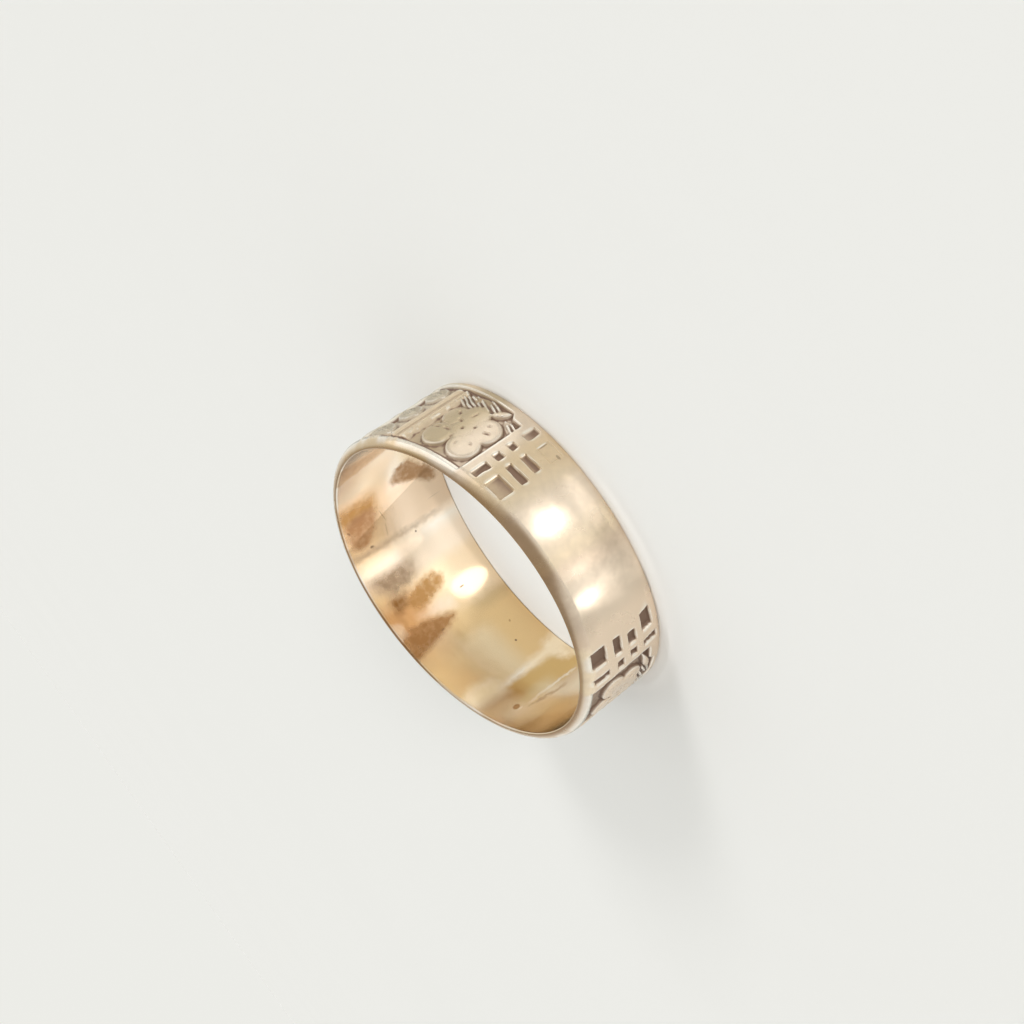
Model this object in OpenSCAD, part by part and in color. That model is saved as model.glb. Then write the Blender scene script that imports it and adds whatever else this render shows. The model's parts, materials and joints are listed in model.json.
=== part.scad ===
// Wide band ring in one piece of gold, with a chased pattern round its outside.
// It lies on its lower rim, which is flat. The bore is upright along +Z, and the origin is at its centre.
// The band is narrowest at the front, -Y, and widest at the back, so its upper rim slopes up to the back.
// Angles are turned about the bore from the front, in degrees, and rise towards +X. Lengths are millimetres.
// Front and back each have a plain section between two lattices. Each side has a recessed ground with
// a flower, a bar, a fern, a bar and a flower, whose tops are level with the band's outside.

/* [Band] */
// Inside diameter of the band
inner_d = 18; // [16:0.5:21]
// Thickness of the band's wall
wall = 0.62; // [0.56:0.02:0.8]
// Width of the band at the front, its narrowest place
front_w = 4.7; // [4.5:0.1:5]
// Width of the band at the back, its widest place
back_w = 7.7; // [7.2:0.1:8]
// Radius of the rounded outer edge of the lower rim
shoulder_r = 0.32; // [0.28:0.01:0.4]
// Depth of the eased inner edge of both rims
inner_ease = 0.08; // [0.05:0.01:0.1]

/* [Ornament] */
// Depth of the recessed ground and of the lattice cells
ground_depth = 0.26; // [0.2:0.02:0.3]
// Width of the rail left between the recessed ground and each rim
rail_w = 0.5; // [0.45:0.01:0.55]
// Half of the angle that a plain section and its two lattices take up
plain_half = 43; // [42.5:0.1:43.5]
// Usual radius of a flower's petal
petal_r = 0.86; // [0.82:0.01:0.88]
// Usual distance from a flower's centre to a petal's centre
petal_reach = 1.16; // [1.14:0.01:1.18]
// Radius of a bar's broad ridge
broad_ridge_r = 0.3; // [0.26:0.01:0.31]
// Radius of a bar's narrow ridge
narrow_ridge_r = 0.22; // [0.18:0.01:0.24]

/* [Hidden] */
$fn = 96;

// Radii of the bore, the outside and the recessed ground
inner_r = inner_d / 2;
outer_r = inner_r + wall;
ground_r = outer_r - ground_depth;

// Rise of the upper rim across the band, its angle, and the width at the sides
rim_rise = (back_w - front_w) / (2 * outer_r);
rim_tilt = atan(rim_rise);
side_w = (front_w + back_w) / 2;

// Sloping rim: the bore's half length across it, the width and radius of its flat land, and the radius
// of its rounded outer edge
rim_bore_r = inner_r / cos(rim_tilt);
rim_land_w = 0.1;
rim_land_r = rim_bore_r + rim_land_w;
rim_round_r = 0.62;

// Reach of the cutting shapes beyond the band, and their height
beyond = 1;
tall = back_w + 2 * beyond;

// Height of the upper rim above the surface at an angle from the front
function upper_rim(angle) = side_w - rim_rise * outer_r * cos(angle);

// Rows of lattice cells, from the lower rim up, as shares of the band's width at their place
LOW = 0;
HIGH = 1;
cell_rows = [
    // low, high
    [0.092, 0.232],
    [0.352, 0.424],
    [0.534, 0.609],
    [0.718, 0.893],
];

// Columns of lattice cells on one side of the front, as angles
NEAR = 0;
FAR = 1;
cell_columns = [
    // near, far
    [27.5, 33.9],
    [37.6, 40.0],
];

// The wide cell at the lower rim, right of the front, is worn until hardly any of its depth is left
worn_depth = 0.06;

// The patterned ground of one side, which ends where the back's plain section begins
ground_half = 90 - plain_half;

// Flowers, with their angle from the front and their middle as a share of the band's width
ANGLE = 0;
SHARE = 1;
flowers = [
    // angle, share
    [54.8, 0.553],
    [-57.4, 0.545],
    [125.2, 0.545],
    [-125, 0.553],
];

// A flower's petals: direction, turned upwards from the way to the bar, and how much farther out and
// wider than usual each one is
DIRECTION = 0;
FARTHER = 1;
WIDER = 2;
petals = [
    // direction, farther, wider
    [48, 0.04, 0],
    [145, -0.02, 0.04],
    [214, 0.06, 0],
    [283, -0.14, 0],
    [337, 0.08, -0.1],
];
heart_r = 0.78;

// Bars stand this angle away from the middle of a side
bar_at = 18.8;

// Between the front's plain section and a flower the lower rail is wider, over these angles
wide_rail_w = 0.8;
wide_rail_from = plain_half - 1;
wide_rail_to = 47.6;

// How far the domed tops stay below the band's outside, and the radius of a petal's dome
top_gap = 0.02;
petal_dome_r = 3.2;

// Each bar has a broad and a narrow ridge on a low base, and stops just short of the rails; a ridge's
// place is its distance from the bar's middle towards the fern
PLACE = 0;
RADIUS = 1;
ridges = [
    // place, radius
    [-0.36, broad_ridge_r],
    [0.44, narrow_ridge_r],
];
bar_base_w = 1.34;
bar_base_drop = 0.13;
bar_gap = 0.14;

// Leaves round a flower: angle from the flower's centre towards the bar, distance in from the rim,
// length, width and turn; the lower rim's leaves are on every flower, the upper rim's only at the back
AWAY = 0;
INSET = 1;
LONG = 2;
WIDE = 3;
TURN = 4;
flower_leaves = [
    // away, inset, long, wide, turn
    [4.5, 1.14, 3.4, 1.12, 5],
    [-3.9, 0.98, 1.2, 0.46, 44],
    [-10.2, 1.28, 1.3, 0.46, -16],
];

// Leaflets on each side of a fern's stem, with their place beside it, size and upward turn
leaflets = 3;
leaflet_out = 1.12;
leaflet_long = 2.2;
leaflet_wide = 1.35;
leaflet_turn = 6;
stem_w = 0.3;

// Stands children on the band's outside, with X along it to the right, Y up and Z outward
module on_band(angle, height) {
    rotate([0, 0, angle - 90])
        translate([0, 0, height])
            rotate([0, 90, 0])
                rotate([0, 0, 90])
                    children();
}

// Turns children, drawn for the lower rim, over onto the sloping upper rim
module on_upper_rim() {
    translate([0, 0, side_w])
        rotate([rim_tilt, 0, 0])
            mirror([0, 0, 1])
                children();
}

// Solid with a flat land at z = 0, a rounded edge round it and a wider body above
module rounded_rim(land_r, round_r, body_r) {
    rotate_extrude() {
        square([land_r, tall]);
        translate([0, round_r])
            square([body_r, tall - round_r]);
        translate([land_r, round_r])
            intersection() {
                circle(r = round_r);
                translate([0, -round_r])
                    square(round_r);
            }
    }
}

// Cone that eases the inner edge of a rim at z = 0
module eased_edge(radius) {
    translate([0, 0, -beyond])
        cylinder(r1 = radius + inner_ease + beyond, r2 = radius, h = inner_ease + beyond);
}

// Plain band before it is chased
module blank() {
    difference() {
        intersection() {
            rounded_rim(outer_r - shoulder_r, shoulder_r, outer_r);
            on_upper_rim()
                rounded_rim(rim_land_r, rim_round_r, outer_r + beyond);
        }
        translate([0, 0, -beyond])
            cylinder(r = inner_r, h = tall);
        eased_edge(inner_r);
        on_upper_rim()
            eased_edge(rim_bore_r);
    }
}

// Ring segment between two angles, from one radius to another
module segment(from, to, r_in, r_out) {
    rotate([0, 0, from - 90])
        rotate_extrude(angle = to - from)
            translate([r_in, 0])
                square([r_out - r_in, tall]);
}

// Slab across the band between two shares of its width, with a margin at each side
module slab(low, high, low_margin, high_margin) {
    reach = outer_r + 2 * beyond;
    front_top = side_w - rim_rise * reach;
    back_top = side_w + rim_rise * reach;
    rotate([90, 0, 90])
        linear_extrude(height = 2 * reach, center = true)
            polygon([
                [-reach, low * front_top + low_margin],
                [reach, low * back_top + low_margin],
                [reach, high * back_top - high_margin],
                [-reach, high * front_top - high_margin],
            ]);
}

// Recessed cells of all four lattices
module lattices() {
    for (row = cell_rows)
        intersection() {
            slab(row[LOW], row[HIGH], 0, 0);
            for (turn = [0, 180], column = cell_columns, side = [-1, 1]) {
                middle = turn + side * (column[NEAR] + column[FAR]) / 2;
                half = (column[FAR] - column[NEAR]) / 2;
                worn = row == cell_rows[0] && column == cell_columns[0] && turn == 0 && side > 0;
                segment(middle - half, middle + half, worn ? outer_r - worn_depth : ground_r,
                    outer_r + beyond);
            }
        }
}

// Petal or heart with a domed top
module boss(radius, dome_r) {
    intersection() {
        translate([0, 0, ground_r - beyond / 2])
            cylinder(r = radius, h = 2 * beyond);
        translate([0, 0, outer_r - top_gap - dome_r])
            sphere(r = dome_r);
    }
}

// Flower of overlapping petals round a heart; towards is 1 where the bar is on the right, -1 on the left
module flower(towards) {
    boss(heart_r, petal_dome_r);
    for (petal = petals)
        rotate([0, 0, towards > 0 ? petal[DIRECTION] : 180 - petal[DIRECTION]])
            translate([petal_reach + petal[FARTHER], 0, 0])
                boss(petal_r + petal[WIDER], petal_dome_r);
}

// Pointed leaf lying along X, where two round outlines overlap
module leaf(long, wide) {
    side_r = (long * long + wide * wide) / (4 * wide);
    intersection() {
        translate([0, side_r - wide / 2, 0])
            cylinder(r = side_r, h = outer_r - top_gap);
        translate([0, wide / 2 - side_r, 0])
            cylinder(r = side_r, h = outer_r - top_gap);
        translate([0, 0, ground_r - beyond / 2])
            cylinder(r = long, h = 2 * beyond);
    }
}

// Leaves that lie under a flower along one rim; up is 1 on the lower rim and -1 on the upper
module flower_spray(angle, towards, rim_height, up) {
    for (row = flower_leaves)
        on_band(angle + towards * row[AWAY], rim_height + up * row[INSET])
            rotate([0, 0, towards * up * row[TURN]])
                leaf(row[LONG], row[WIDE]);
}

// Bar that runs across the ground; towards is 1 where the fern is on the right, -1 on the left
module bar(angle, towards) {
    base_half = bar_base_w / 2 / outer_r * 180 / PI;
    intersection() {
        slab(0, 1, rail_w + bar_gap, rail_w + bar_gap);
        union() {
            segment(angle - base_half, angle + base_half, ground_r - beyond / 2, outer_r - bar_base_drop);
            for (ridge = ridges)
                rotate([0, 0, angle - 90])
                    translate([outer_r - top_gap - ridge[RADIUS], towards * ridge[PLACE], 0])
                        cylinder(r = ridge[RADIUS], h = tall);
        }
    }
}

// Fern with a stem across the ground and leaflets that point at the bars
module fern(angle) {
    clear_h = upper_rim(angle) - 2 * rail_w;
    pitch = clear_h / leaflets;
    stem_half = stem_w / 2 / outer_r * 180 / PI;
    intersection() {
        slab(0, 1, rail_w + bar_gap, rail_w + bar_gap);
        segment(angle - stem_half, angle + stem_half, ground_r - beyond / 2, outer_r - top_gap);
    }
    for (i = [0:leaflets - 1], side = [-1, 1])
        on_band(angle, rail_w + (i + 0.5) * pitch)
            translate([side * leaflet_out, 0, 0])
                rotate([0, 0, side * leaflet_turn])
                    leaf(leaflet_long, leaflet_wide);
}

// Wider part of the lower rail beside the front's plain section, right or left of it
module wide_rail(side) {
    ends = side * [wide_rail_from, wide_rail_to];
    intersection() {
        segment(min(ends), max(ends), ground_r - beyond / 2, outer_r + beyond);
        cylinder(r = outer_r + beyond, h = wide_rail_w);
    }
}

// Flower at an angle, with its leaves
module flower_group(angle, share) {
    towards = sign(sin(2 * angle));
    rim_height = upper_rim(angle);
    on_band(angle, share * rim_height)
        flower(towards);
    flower_spray(angle, towards, 0, 1);
    if (rim_height > side_w)
        flower_spray(angle, towards, rim_height, -1);
}

// Everything that stands up from the ground of one side, whose middle is at this angle
module side_motifs(middle) {
    fern(middle);
    wide_rail(sign(middle));
    for (way = [-1, 1])
        bar(middle + way * bar_at, -way);
    for (row = flowers)
        if (row[ANGLE] * middle > 0)
            flower_group(row[ANGLE], row[SHARE]);
}

// Recessed ground of one side, without what stands up from it
module side_ground(middle) {
    difference() {
        intersection() {
            segment(middle - ground_half, middle + ground_half, ground_r, outer_r + beyond);
            slab(0, 1, rail_w, rail_w);
        }
        side_motifs(middle);
    }
}

// The whole band
module band() {
    color("#dcc096")
        difference() {
            blank();
            lattices();
            for (middle = [90, -90])
                side_ground(middle);
        }
}

band();
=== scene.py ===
import json
import math

import bmesh
import bpy
import numpy as np
from mathutils import Matrix, Vector


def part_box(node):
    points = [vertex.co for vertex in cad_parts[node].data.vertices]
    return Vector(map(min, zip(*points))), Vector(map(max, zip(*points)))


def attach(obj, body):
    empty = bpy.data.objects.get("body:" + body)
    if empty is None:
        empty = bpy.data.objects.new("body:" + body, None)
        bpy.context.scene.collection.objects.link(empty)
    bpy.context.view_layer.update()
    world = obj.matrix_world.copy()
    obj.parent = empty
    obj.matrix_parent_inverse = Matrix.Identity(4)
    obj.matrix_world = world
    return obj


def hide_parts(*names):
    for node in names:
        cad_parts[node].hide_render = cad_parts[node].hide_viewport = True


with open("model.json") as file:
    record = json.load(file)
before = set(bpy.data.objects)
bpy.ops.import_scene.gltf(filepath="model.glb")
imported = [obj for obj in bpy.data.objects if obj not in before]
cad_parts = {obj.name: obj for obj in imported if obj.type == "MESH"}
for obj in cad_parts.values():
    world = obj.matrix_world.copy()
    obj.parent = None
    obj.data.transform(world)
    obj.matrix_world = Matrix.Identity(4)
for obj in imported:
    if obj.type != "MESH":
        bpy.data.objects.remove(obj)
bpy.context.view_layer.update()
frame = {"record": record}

# Sizes in millimetres, as on the part; a vertex is scaled to metres last
MM = 0.001
# Vertices closer than this, in metres, are one
SAME_SPOT = 1e-7
MOUNTS = {mount["name"]: mount for mount in frame["record"]["mounts"]}
INNER_R = MOUNTS["finger_bore"]["dims"]["r_mm"]
OUTER_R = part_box("band")[1][0] / MM
FRONT_W = 4.7
BACK_W = 7.7
SIDE_W = (FRONT_W + BACK_W) / 2
RIM_RISE = (BACK_W - FRONT_W) / 2 / OUTER_R
# Rounded edges: how far each reaches in from its wall, and along the wall from the rim
LOWER_EDGE = (0.32, 0.32)
UPPER_EDGE = (0.52, 0.62)
INNER_EDGE = (0.09, 0.09)
GROUND_DEPTH = 0.26
PLAIN_HALF = 43.0
GROUND_HALF = 90.0 - PLAIN_HALF
DEGREE = OUTER_R * math.pi / 180

# The mesh: steps round the band, rows across its outside and inside, and points in an outer and an inner
# rounded edge
STEPS = 820
OUTER_ROWS = 94
INNER_ROWS = 6
OUTER_POINTS = 5
INNER_POINTS = 3
# A row this far from each rounded edge keeps the wall beside it straight
HOLD = 0.04
# Heights this close to a rim keep their distance from it where the band is wider or narrower
KEEP = 0.4
# Share of the steps that each degree gets, at angles from the front, and the fine steps that add it up
DENSITY_ANGLES = (0, 24, 26, 42, 44, 78, 80, 137, 139, 154, 156, 180)
DENSITIES = (0.3, 0.3, 1.3, 1.3, 2.0, 2.0, 1.0, 1.0, 0.9, 0.9, 0.3, 0.3)
FINE_STEPS = 7200
# Crevices and raised edges are where the relief is deeper or higher than its mean over a reach either side;
# crevices get patina and painted shade, raised edges a painted highlight that also stands for wear: the
# reach, the usual distance between two columns of the mesh, and how strongly each shows
MEAN_REACH = 0.2
COLUMN_SPACING = 0.045
CREVICE_GAIN = 1.6
WEAR_GLINT_GAIN = 2.2


def upper_rim(angle, radius=OUTER_R):
    """Height of the sloping upper rim at angles in degrees from the front."""
    return SIDE_W - RIM_RISE * radius * np.cos(np.radians(angle))


def smooth(low, high, value):
    """Rises smoothly from 0 at low to 1 at high, or falls where low is the greater."""
    t = np.clip((value - low) / (high - low), 0, 1)
    return t * t * (3 - 2 * t)


def grain(u, v, pitch, seed):
    """Soft random field from -1 to 1 over u and v, whose spots are about pitch wide."""
    size = 256
    table = np.random.default_rng(seed).uniform(-1, 1, (size, size))
    u, v = u / pitch, v / pitch
    i, j = np.floor(u).astype(int), np.floor(v).astype(int)
    fu, fv = smooth(0, 1, u - i), smooth(0, 1, v - j)
    near = table[i % size, j % size] * (1 - fu) + table[(i + 1) % size, j % size] * fu
    far = table[i % size, (j + 1) % size] * (1 - fu) + table[(i + 1) % size, (j + 1) % size] * fu
    return near * (1 - fv) + far * fv


def turned(x, y, degrees):
    """Coordinates along and across a direction turned by degrees."""
    c, s = math.cos(math.radians(degrees)), math.sin(math.radians(degrees))
    return x * c + y * s, y * c - x * s


def rows_of(columns, table):
    """Rows of a table, each as a dictionary under the columns' names."""
    return [dict(zip(columns, row)) for row in table]


# Relief of the chased sides. Each motif gives how high it stands over the sunk ground, from 0 to 1,
# and how deep its own cuts are, in millimetres. Half the width of a motif's sloping edge:
EDGE = 0.05


def inside(distance):
    """1 inside an outline and 0 outside it, with a sloping edge."""
    return smooth(EDGE, -EDGE, distance)


def leaf_outline(x, y, long, wide):
    """Distance out from the pointed outline of a leaf that lies along x."""
    side_r = (long * long + wide * wide) / (4 * wide)
    return np.hypot(x, np.abs(y) + side_r - wide / 2) - side_r


# Leaves with veins: height, and how much it falls towards the outline; then distance between veins, how far
# they slant back, and depth
LEAF_TOP = 0.97
LEAF_FALL = 0.25
VEIN_PITCH = 0.2
VEIN_SLANT = 0.8
VEIN_DEEP = 0.05


def leaf(x, y, long, wide):
    """A leaf with a midrib, and veins that slant back from it."""
    distance = leaf_outline(x, y, long, wide)
    body = inside(distance) * (LEAF_TOP - LEAF_FALL * smooth(-wide / 2, 0, distance))
    midrib = smooth(0.07, 0.02, np.abs(y)) * smooth(0, -0.1, distance)
    veins = smooth(0.1, 0.7, np.sin((x + VEIN_SLANT * np.abs(y)) * 2 * math.pi / VEIN_PITCH))
    veins = veins * smooth(0.04, 0.14, np.abs(y)) * smooth(0.02, -0.06, distance)
    return body, VEIN_DEEP * midrib + VEIN_DEEP * veins


# Feathered leaves: distance between barbs and their direction, height between them, how much higher they
# stand, and depth of the cuts
HATCH_PITCH = 0.23
HATCH_TURN = -20
BARB_FOOT = 0.62
BARB_RISE = 0.36
BARB_CUT = 0.07


def feather(x, y, long, wide, turn):
    """A leaf whose whole face is cut into slanting barbs; x and y aren't turned."""
    along, across = turned(x, y, turn)
    distance = leaf_outline(along, across, long, wide)
    along, across = turned(x, y, HATCH_TURN)
    wave = np.sin((across + 0.05 * grain(along, across, 0.5, 61)) * 2 * math.pi / HATCH_PITCH)
    broken = smooth(-0.75, -0.2, grain(along * 0.45, across, 0.2, 62))
    barbs = smooth(-0.5, 0.5, wave) * broken
    cuts = BARB_CUT * (1 - barbs) * smooth(0.02, -0.08, distance)
    return inside(distance) * (BARB_FOOT + BARB_RISE * barbs), cuts


# Petals: direction from the bar's side upwards, reach of their middle, and radius
petal_columns = ("turn", "reach", "radius")
PETALS = rows_of(petal_columns, [
    (48, 1.20, 0.86),
    (145, 1.14, 0.90),
    (214, 1.22, 0.86),
    (283, 1.02, 0.86),
    (337, 1.24, 0.76),
])
HEART_R = 0.78
# Chisel strokes on a flower: place, turn, length and depth
stroke_columns = ("x", "y", "turn", "long", "deep")
STROKES = rows_of(stroke_columns, [
    (1.24, 0.60, 22, 0.46, 0.10),
    (0.65, 0.42, 10, 0.48, 0.10),
    (-0.53, 0.84, -60, 0.28, 0.05),
    (-1.18, 0.40, -20, 0.26, 0.06),
    (-1.22, -0.60, 26, 0.46, 0.11),
    (-0.94, -1.03, 46, 0.30, 0.07),
    (1.12, -0.78, -32, 0.42, 0.11),
    (0.60, -0.42, -4, 0.40, 0.09),
    (0.25, -1.08, 84, 0.40, 0.09),
    (0.06, -0.08, -30, 0.24, 0.11),
    (-0.44, -0.50, 10, 0.20, 0.10),
    (0.05, 0.62, 88, 0.30, 0.06),
])
# Small bumps on the petal next to the bar
BUMPS = ((1.42, 0.02), (1.5, -0.26), (1.36, -0.42))
BUMP_HIGH = 0.2
BUMP_R = 0.14
# How much the petals fall towards their outline, and the flower towards its heart
CUSHION_FALL = 0.3
HEART_FALL = 0.14


def flower(x, y):
    """Five petals run together in a smooth cushion, with chisel strokes; x runs towards the bar."""
    distance = np.hypot(x, y) - HEART_R
    for petal in PETALS:
        along, across = turned(x, y, petal["turn"])
        distance = np.minimum(distance, np.hypot(along - petal["reach"], across) - petal["radius"])
    cushion = 1 - CUSHION_FALL * smooth(-0.34, 0.04, distance) ** 1.5
    height = inside(distance) * cushion * (1 - HEART_FALL * smooth(1.1, 0.2, np.hypot(x, y)))
    for bump_x, bump_y in BUMPS:
        height = height + BUMP_HIGH * smooth(BUMP_R, 0.0, np.hypot(x - bump_x, y - bump_y))
    cuts = np.zeros_like(x)
    for stroke in STROKES:
        along, across = turned(x - stroke["x"], y - stroke["y"], stroke["turn"])
        pointed = np.clip(1 - np.abs(along) * 2 / stroke["long"], 0, 1) ** 0.5
        cuts = np.maximum(cuts, stroke["deep"] * pointed * smooth(0.115, 0.03, np.abs(across)))
    return height, cuts


# Width of the lower and upper rail, and the place of a bar either side of the fern in degrees, half its
# width, and its gap to the rails
RAIL_LOW = 0.52
RAIL_HIGH = 0.42
BAR_AT = 18.8
BAR_HALF = 0.67
BAR_GAP = 0.13
# Ridges of a bar: place towards the fern, half width and height
RIDGES = ((-0.36, 0.30, 0.98), (0.44, 0.22, 0.98))
# How far a bar's corners are rounded back, its height between the ridges, the depth of its rough face, how
# much a ridge falls to its sides, and how far the bar's long sides wander
BAR_ROUND = 0.34
BAR_BED = 0.42
BAR_ROUGH = 0.06
RIDGE_FALL = 0.5
BAR_RAGGED = 0.07


def bar(x, z, rim):
    """A broad rough ridge and a narrow smooth one, with round ends; x runs towards the fern."""
    ragged = BAR_RAGGED * grain(z, x * 0, 0.3, 31)
    ends = BAR_ROUND * (np.abs(x) / BAR_HALF) ** 3
    end = np.maximum(RAIL_LOW + BAR_GAP + ends - z, z - (rim - RAIL_HIGH - BAR_GAP - 0.4 * ends))
    height = np.full_like(x, BAR_BED)
    for ridge, half, top in RIDGES:
        height = np.maximum(height, top - RIDGE_FALL * np.clip(np.abs(x - ridge) / half, 0, 1) ** 3)
    rough = smooth(0.05, 0.5, grain(z, x, 0.2, 32)) * smooth(-0.2, -0.45, x)
    return inside(np.maximum(np.abs(x) - BAR_HALF + ragged, end)) * height, BAR_ROUGH * rough


# Fern: leaflets on each side of its stem, their place beside it, size and turn; the stem's half width and
# height
LEAFLETS = 3
LEAFLET_OUT = 1.12
LEAFLET_LONG = 2.2
LEAFLET_WIDE = 1.35
LEAFLET_TURN = 6
STEM_HALF = 0.15
STEM_TOP = 0.95


def fern(x, z, rim):
    """A stem across the band with pairs of leaflets that point at the bars."""
    clear = SIDE_W - RAIL_LOW - RAIL_HIGH
    end = np.maximum(RAIL_LOW + BAR_GAP - z, z - (rim - RAIL_HIGH - BAR_GAP))
    body = inside(np.maximum(np.abs(x) - STEM_HALF, end)) * STEM_TOP
    cuts = np.zeros_like(x)
    for i in range(LEAFLETS):
        middle = RAIL_LOW + (i + 0.5) * clear / LEAFLETS
        along, across = turned(np.abs(x) - LEAFLET_OUT, z - middle, LEAFLET_TURN)
        leaflet, veins = leaf(along, across, LEAFLET_LONG, LEAFLET_WIDE)
        body = np.maximum(body, leaflet)
        cuts = np.maximum(cuts, veins)
    return body, cuts


# Flowers: side, 1 right of the front and -1 left of it; way, -1 on its front half and 1 on its back
# half; angle from the side's middle; middle as a share of the band's width; turn in degrees, and size
flower_columns = ("side", "way", "at", "share", "turn", "size")
FLOWERS = rows_of(flower_columns, [
    (1, -1, 35.2, 0.553, 0, 1.0),
    (-1, -1, 33.4, 0.535, 14, 0.88),
    (1, 1, 35.2, 0.545, 0, 1.0),
    (-1, 1, 35.0, 0.553, 0, 1.0),
])
# Feathered leaves along a rail beside a flower: place towards the bar, distance from the rim, size, turn
spray_columns = ("towards", "inset", "long", "wide", "turn")
SPRAY = rows_of(spray_columns, [
    (0.75, 1.14, 3.4, 1.12, 5),
    (-1.72, 1.28, 1.3, 0.46, -16),
])
# The smooth tip that folds out from under the longer leaf
TIP = dict(zip(spray_columns, (-0.66, 0.98, 1.2, 0.46, 44)))
# Beside the flower left of the front a longer smooth leaf takes the place of the tip and the short leaf;
# tips fall towards their outline
LEFT_TIP = dict(zip(spray_columns, (-1.05, 0.98, 1.9, 0.46, -15)))
TIP_FALL = 0.3
# How much wider the lower rail is between the front's plain section and a flower, and where it steps back
WIDE_RAIL = 0.3
RAIL_STEP = (-1.05, -1.4)
# Fine stipple of the sunk ground: depth, width of its spots and seed
STIPPLE = ((0.02, 0.13, 41), (0.012, 0.31, 42))


def sprays(at, z, edge, up, leaves=SPRAY, tip=TIP):
    """Leaves beside a flower; at runs towards the bar, edge is the rim's height and up points inwards."""
    motifs = []
    for row in leaves:
        x, y = at - row["towards"], up * (z - edge) - row["inset"]
        motifs.append(feather(x, y, row["long"], row["wide"], row["turn"]))
    along, across = turned(at - tip["towards"], up * (z - edge) - tip["inset"], tip["turn"])
    distance = leaf_outline(along, across, tip["long"], tip["wide"])
    motifs.append((inside(distance) * (1 - TIP_FALL * smooth(-0.2, 0, distance)), np.zeros_like(z)))
    return motifs


# How far the ground's front end leans from rim to rim left of the front, in millimetres
GROUND_LEAN = 0.3


def chased_side(side, x, z, rim):
    """Depth of a chased side below the outside, x running from its front end to its back end."""
    low_rail = np.full_like(z, RAIL_LOW)
    motifs = [fern(x, z, rim)]
    for way in (-1, 1):
        motifs.append(bar(-way * (x - way * BAR_AT * DEGREE), z, rim))
    for row in FLOWERS:
        if row["side"] != side:
            continue
        way = row["way"]
        at = -way * (x - way * row["at"] * DEGREE)
        middle = upper_rim(90 + way * row["at"])
        along, across = turned(at, z - row["share"] * middle, row["turn"])
        motifs.append(flower(along / row["size"], across / row["size"]))
        if way < 0 and side < 0:
            motifs += sprays(at, z, 0, 1, SPRAY[:1], LEFT_TIP)
        else:
            motifs += sprays(at, z, 0, 1)
        if way > 0:
            motifs += sprays(at, z, middle, -1)
        else:
            low_rail = low_rail + WIDE_RAIL * smooth(*RAIL_STEP, at)
    half = GROUND_HALF * DEGREE
    lean = GROUND_LEAN * (z / rim - 0.5) if side < 0 else 0
    ground = inside(np.max([-half + lean - x, x - half, low_rail - z, z - (rim - RAIL_HIGH)], axis=0))
    height, cuts = np.zeros_like(z), np.zeros_like(z)
    for body, cut in motifs:
        cuts = np.where(body > height, cut, cuts)
        height = np.maximum(height, body)
    stipple = sum(deep * grain(x, z, pitch, seed) for deep, pitch, seed in STIPPLE)
    sunk = GROUND_DEPTH * (1 - height) + stipple * smooth(0.5, 0.1, height)
    return ground * (sunk + cuts * smooth(0.3, 0.6, height))


# Cells of the lattices right and left of the front: nearer and farther end as angles from the front,
# lower and upper edge as shares of the band's width, lean in degrees, depth as a share of the ground's,
# and the darkness of its patina, to which painted shade is added towards its lower edge
cell_columns = ("near", "far", "low", "high", "lean", "deep", "dark")
RIGHT_CELLS = rows_of(cell_columns, [
    (27.5, 33.7, 0.723, 0.885, 0.0, 0.8, 0.22),
    (27.5, 34.5, 0.540, 0.611, 0.0, 0.9, 0.4),
    (28.2, 34.4, 0.354, 0.428, 0.0, 0.8, 0.3),
    (27.6, 33.9, 0.094, 0.232, 0.0, 0.16, 0.0),
    (37.4, 39.4, 0.705, 0.886, 0.0, 0.9, 0.4),
    (37.6, 39.9, 0.527, 0.604, 0.0, 0.9, 0.4),
    (37.7, 39.9, 0.348, 0.417, 0.0, 0.9, 0.4),
    (37.5, 39.9, 0.085, 0.228, 0.0, 0.8, 0.3),
])
LEFT_CELLS = rows_of(cell_columns, [
    (27.1, 33.5, 0.735, 0.905, 0.0, 0.9, 0.4),
    (27.7, 34.2, 0.530, 0.617, 0.0, 0.9, 0.4),
    (29.6, 33.9, 0.338, 0.426, 0.0, 0.9, 0.4),
    (25.7, 32.5, 0.112, 0.240, 0.8, 0.9, 0.4),
    (38.0, 40.3, 0.705, 0.892, 0.0, 0.9, 0.4),
    (37.8, 40.7, 0.517, 0.592, 0.0, 0.9, 0.4),
    (37.1, 40.0, 0.332, 0.417, 0.0, 0.9, 0.4),
    (36.7, 39.0, 0.085, 0.234, 1.2, 0.9, 0.4),
])


# How far the cells' outlines wander, and the share of their darkness at the upper edge and the painted
# shade it gains towards the lower edge
CELL_WANDER = 0.03
CELL_DARK_TOP = 0.6
CELL_DARK_GAIN = 0.8


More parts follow.
